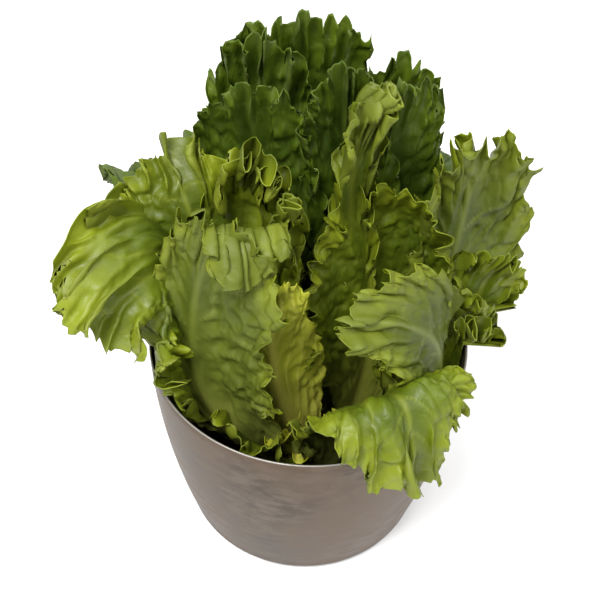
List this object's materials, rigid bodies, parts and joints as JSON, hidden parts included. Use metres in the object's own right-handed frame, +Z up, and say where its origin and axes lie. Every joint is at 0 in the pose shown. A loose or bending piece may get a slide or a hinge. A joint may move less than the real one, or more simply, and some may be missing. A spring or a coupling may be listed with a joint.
{
  "type": "batavia lettuce in a metal pot",
  "caption": "Loose head of frilly green lettuce: separate ruffled leaves on a short stem, standing in a plain tapered metal pot.",
  "frame": {"origin": "centre of the pot's flat underside", "axes": "+Z up, +X to the right of the head seen from its front, +Y to its tall dark back leaves"},
  "size_m": [0.2501, 0.2524, 0.2937],
  "materials": {
    "pot_metal": "worn brushed steel, faintly mottled",
    "stem_flesh": "pale juicy stem",
    "heart_leaf": "pale yellow-green young leaf, slightly glossy",
    "green_leaf": "fresh green leaf, glossy and blistered",
    "dark_leaf": "dark green outer leaf, glossy with pale veins"
  },
  "bodies": {
    "root": {"pot": "pot_metal", "stem": "stem_flesh", "back_left_leaf": "dark_leaf", "back_middle_leaf": "dark_leaf", "back_right_leaf": "dark_leaf", "big_cup_leaf": "green_leaf", "curl_strip_leaf": "green_leaf", "front_heart_a_leaf": "heart_leaf", "front_heart_b_leaf": "heart_leaf", "front_left_leaf": "green_leaf", "front_right_leaf": "green_leaf", "front_small_leaf": "green_leaf", "heart_rib_leaf": "heart_leaf", "inner_frill_leaf": "green_leaf", "left_fold_leaf": "green_leaf", "left_sprawl_leaf": "green_leaf", "mid_curl_leaf": "green_leaf", "rear_drape_left_leaf": "dark_leaf", "rear_drape_mid_leaf": "dark_leaf", "rear_drape_right_leaf": "dark_leaf", "rear_left_leaf": "dark_leaf", "rear_right_leaf": "dark_leaf", "rear_top_leaf": "dark_leaf", "right_fan_leaf": "green_leaf", "right_pale_leaf": "green_leaf", "right_rim_leaf": "green_leaf", "right_tip_leaf": "green_leaf", "right_wrinkled_leaf": "green_leaf", "upper_left_leaf": "green_leaf"}
  },
  "joints": []
}
